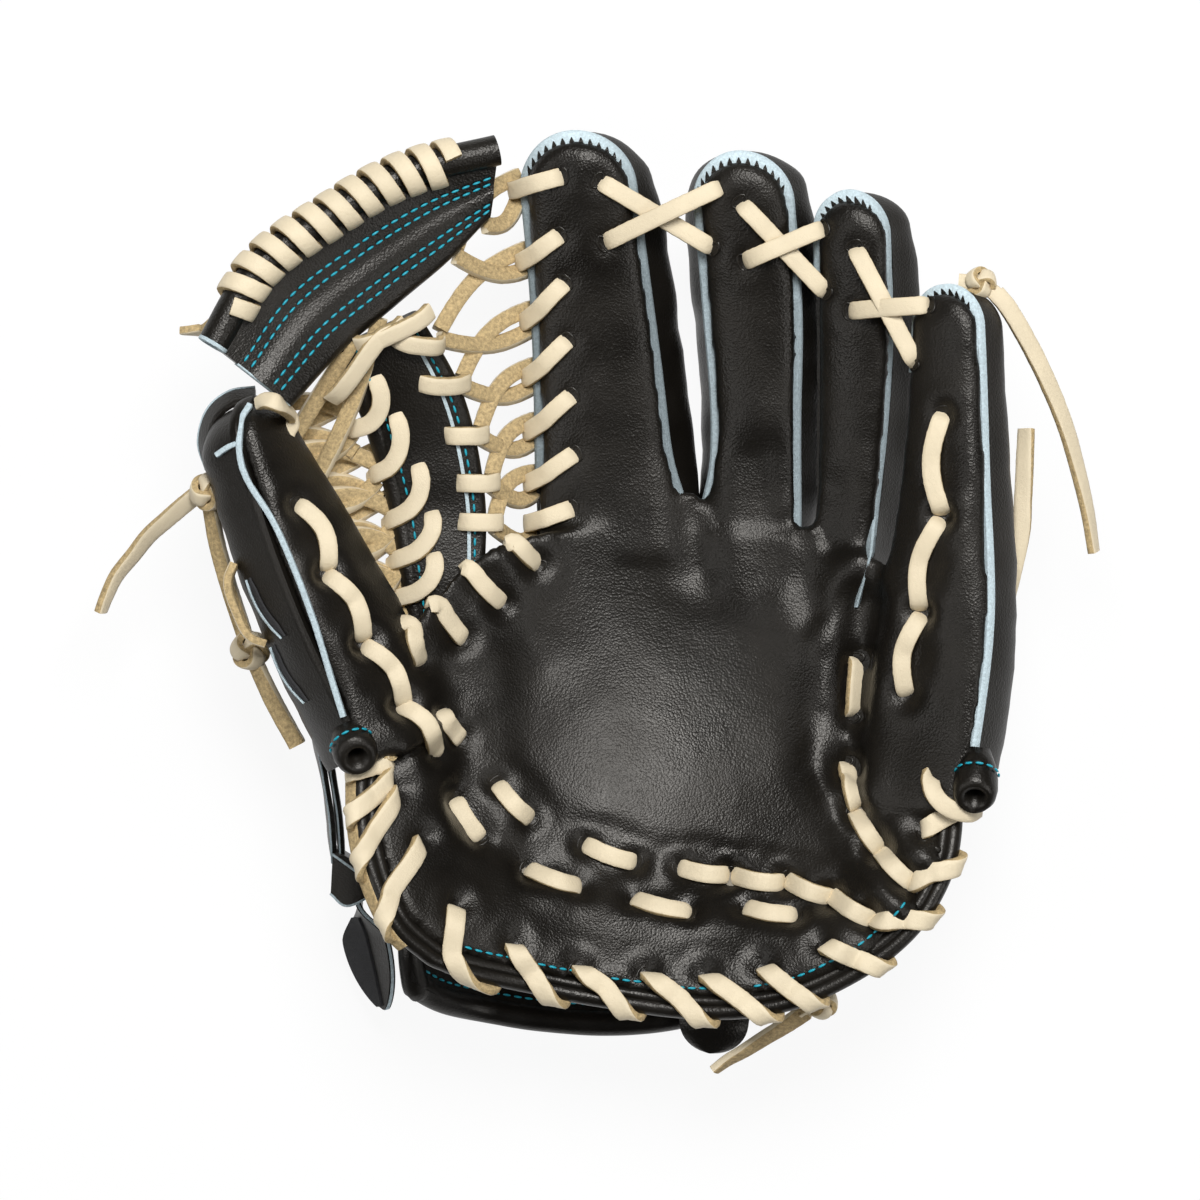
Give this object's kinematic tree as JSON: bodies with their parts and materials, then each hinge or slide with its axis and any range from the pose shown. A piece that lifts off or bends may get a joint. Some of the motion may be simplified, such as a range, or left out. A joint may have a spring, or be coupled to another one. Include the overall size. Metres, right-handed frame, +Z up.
{
  "type": "baseball fielder's glove",
  "caption": "Black leather baseball glove for the left hand, laced in cream rawhide, with a trapeze web, welted fingers and a pocket that folds shut.",
  "frame": {"origin": "on the ground under the middle of the hand, on the back panel's flat face", "axes": "+X to the little finger, +Y to the fingertips, +Z up out of the pocket; the glove lies on its back"},
  "size_m": [0.3033, 0.2851, 0.0905],
  "materials": {
    "leather": "semi-gloss",
    "lace": "matte",
    "welt": "matte",
    "felt": "matte",
    "lining": "matte",
    "plastic": "matte",
    "hook": "matte"
  },
  "bodies": {
    "palm": {"palm_leather": "leather", "palm_felt": "felt", "heel_felt": "felt", "palm_lining": "lining", "index_front": "leather", "index_back": "leather", "index_welt": "welt", "middle_front": "leather", "middle_back": "leather", "middle_welt": "welt", "ring_front": "leather", "ring_back": "leather", "ring_welt": "welt", "pinky_front": "leather", "pinky_back": "leather", "pinky_welt": "welt", "pinky_stiffener": "plastic", "pinky_roll": "leather", "pinky_cuff": "leather", "back_panel": "leather", "wrist_band": "leather", "wrist_roll": "leather", "wrist_tongue": "leather", "heel_binding": "leather", "heel_lace": "lace", "palm_lace": "lace", "pinky_edge_lace": "lace", "index_middle_lace": "lace", "middle_ring_lace": "lace", "ring_pinky_lace": "lace", "web_bar": "leather", "web_wrap_lace": "lace", "web_post": "leather", "index_web_lace": "lace", "index_edge_lace": "lace", "web_base_lace": "lace", "heel_knot": "lace", "heel_lace_tail": "lace", "pinky_knot": "lace", "pinky_lace_tail": "lace", "pinky_back_tail": "lace", "web_lace_tail": "lace", "wrist_strap": "leather", "strap_keeper": "leather"},
    "thumb": {"thumb_front": "leather", "thumb_back": "leather", "thumb_welt": "welt", "thumb_stiffener": "plastic", "thumb_roll": "leather", "thumb_cuff": "leather", "thumb_pad_leather": "leather", "thumb_pad_felt": "felt", "thumb_binding": "leather", "thumb_heel_lace": "lace", "thumb_edge_lace": "lace", "thumb_web_lace": "lace", "thumb_back_lace": "lace", "thumb_lace_tail": "lace"},
    "strap": {"strap_tab": "leather", "strap_hook_pad": "hook"}
  },
  "joints": [
    {"name": "pocket_fold", "type": "hinge", "parent": "palm", "child": "thumb", "pos_m": [-0.041, -0.11, 0.08], "axis": [-0.0833, 0.9825, -0.1665], "range_deg": [0, 60], "deforming": ["thumb_web_lace", "web_bar", "web_wrap_lace"]},
    {"name": "strap_peel", "type": "hinge", "parent": "palm", "child": "strap", "pos_m": [-0.077, -0.088, 0.022], "axis": [0, 0, -1], "range_deg": [0, 75]}
  ]
}
